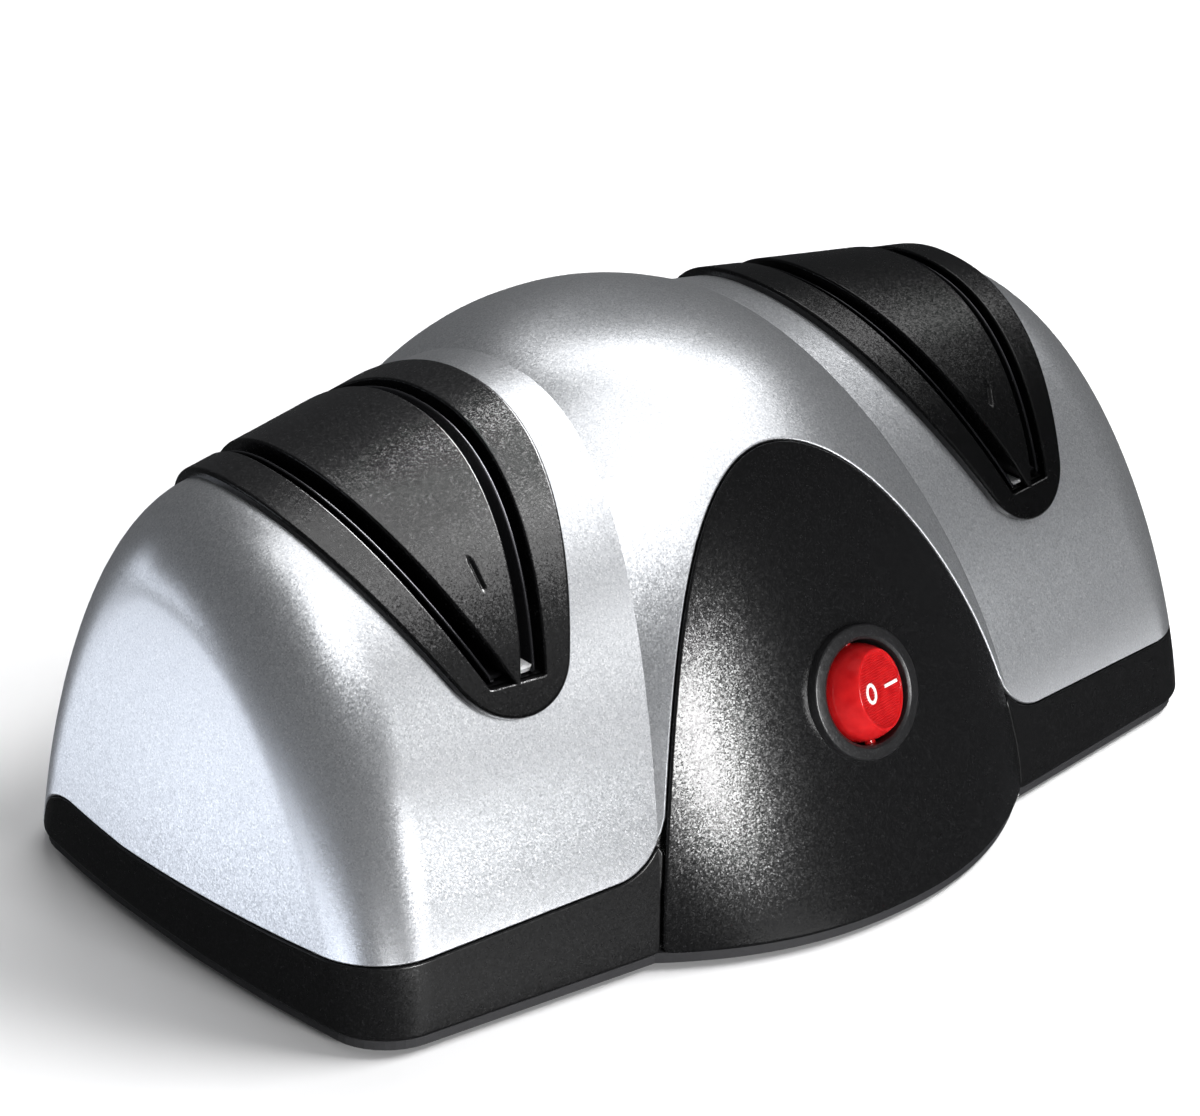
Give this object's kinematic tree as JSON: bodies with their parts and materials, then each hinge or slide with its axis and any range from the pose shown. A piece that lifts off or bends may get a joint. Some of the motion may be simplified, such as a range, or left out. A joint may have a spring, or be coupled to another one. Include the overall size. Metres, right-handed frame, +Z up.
{
  "type": "electric knife sharpener",
  "caption": "Bench-top electric knife sharpener: silver wings around a central dome, slanted blade slots in black saddles, round rocker switch in a black front panel.",
  "frame": {"origin": "middle of the footprint on the table top, at the underside of the rubber feet", "axes": "+X along the length towards the side of the switch marked I, -Y towards the user (switch side), +Z up"},
  "size_m": [0.2056, 0.1424, 0.0875],
  "materials": {
    "silver_paint": "metallic silver paint over moulded plastic",
    "black_plastic": "fine spark texture",
    "grey_plastic": "satin",
    "switch_black": "satin",
    "switch_red": "glossy, slightly translucent",
    "spring_steel": "brushed",
    "zinc_steel": "zinc plated",
    "shaft_steel": "ground",
    "lamination": "stacked sheet",
    "ferrite": "dull",
    "copper": "enamelled copper",
    "bronze": "sintered",
    "brass": "plain",
    "carbon": "dull",
    "abrasive": "coarse grit",
    "aluminium": "turned",
    "board_green": "printed board",
    "capacitor_blue": "sleeve",
    "rubber_black": "matt"
  },
  "bodies": {
    "housing": {"upper_shell": "silver_paint", "base_tray": "black_plastic", "bottom_plate": "grey_plastic", "front_panel": "black_plastic", "slot_insert_left": "black_plastic", "slot_insert_right": "black_plastic", "switch_bezel": "switch_black", "switch_terminals": "brass", "motor_can": "zinc_steel", "motor_bell_left": "zinc_steel", "motor_bell_right": "zinc_steel", "motor_magnets": "ferrite", "brush_holders": "brass", "brushes": "carbon", "bearing_left": "bronze", "bearing_right": "bronze", "motor_clamps": "zinc_steel", "clamp_screws": "zinc_steel", "power_board": "board_green", "board_capacitor": "capacitor_blue", "board_rectifier": "switch_black", "cord_gland": "rubber_black", "rubber_feet": "rubber_black", "housing_screws": "zinc_steel", "panel_screws": "zinc_steel"},
    "spindle": {"motor_shaft": "shaft_steel", "rotor_core": "lamination", "rotor_windings": "copper", "commutator": "copper", "wheel_left": "abrasive", "wheel_right": "abrasive", "hub_left": "aluminium", "hub_right": "aluminium", "wheel_washers": "zinc_steel", "wheel_nuts": "zinc_steel"},
    "rocker": {"switch_rocker": "switch_red"},
    "guide_lo": {"guide_left_outer": "spring_steel"},
    "guide_li": {"guide_left_inner": "spring_steel"},
    "guide_ri": {"guide_right_inner": "spring_steel"},
    "guide_ro": {"guide_right_outer": "spring_steel"},
    "shutter_l": {"dust_shutter_left": "grey_plastic"},
    "shutter_r": {"dust_shutter_right": "grey_plastic"}
  },
  "joints": [
    {"name": "spindle_spin", "type": "hinge", "parent": "housing", "child": "spindle", "pos_m": [0, 0.00785, 0.041], "axis": [1, 0, 0], "continuous": true},
    {"name": "rocker_rock", "type": "hinge", "parent": "housing", "child": "rocker", "pos_m": [0, -0.05634, 0.03771], "axis": [0, -0.4179, -0.9085], "range_deg": [0, 36]},
    {"name": "guide_left_outer_give", "type": "hinge", "parent": "housing", "child": "guide_lo", "pos_m": [-0.07179, 0.00785, 0.074], "axis": [0, 1, 0], "range_deg": [0, 1.5], "stiffness_Nm_per_rad": 0.3},
    {"name": "guide_left_inner_give", "type": "hinge", "parent": "housing", "child": "guide_li", "pos_m": [-0.047, 0.00785, 0.074], "axis": [0, -1, 0], "range_deg": [0, 1.5], "stiffness_Nm_per_rad": 0.3},
    {"name": "guide_right_inner_give", "type": "hinge", "parent": "housing", "child": "guide_ri", "pos_m": [0.047, 0.00785, 0.074], "axis": [0, 1, 0], "range_deg": [0, 1.5], "stiffness_Nm_per_rad": 0.3},
    {"name": "guide_right_outer_give", "type": "hinge", "parent": "housing", "child": "guide_ro", "pos_m": [0.07179, 0.00785, 0.074], "axis": [0, -1, 0], "range_deg": [0, 1.5], "stiffness_Nm_per_rad": 0.3},
    {"name": "dust_shutter_left_slide", "type": "slide", "parent": "housing", "child": "shutter_l", "axis": [1, 0, 0], "range_m": [0, 0.022]},
    {"name": "dust_shutter_right_slide", "type": "slide", "parent": "housing", "child": "shutter_r", "axis": [-1, 0, 0], "range_m": [0, 0.022]}
  ]
}
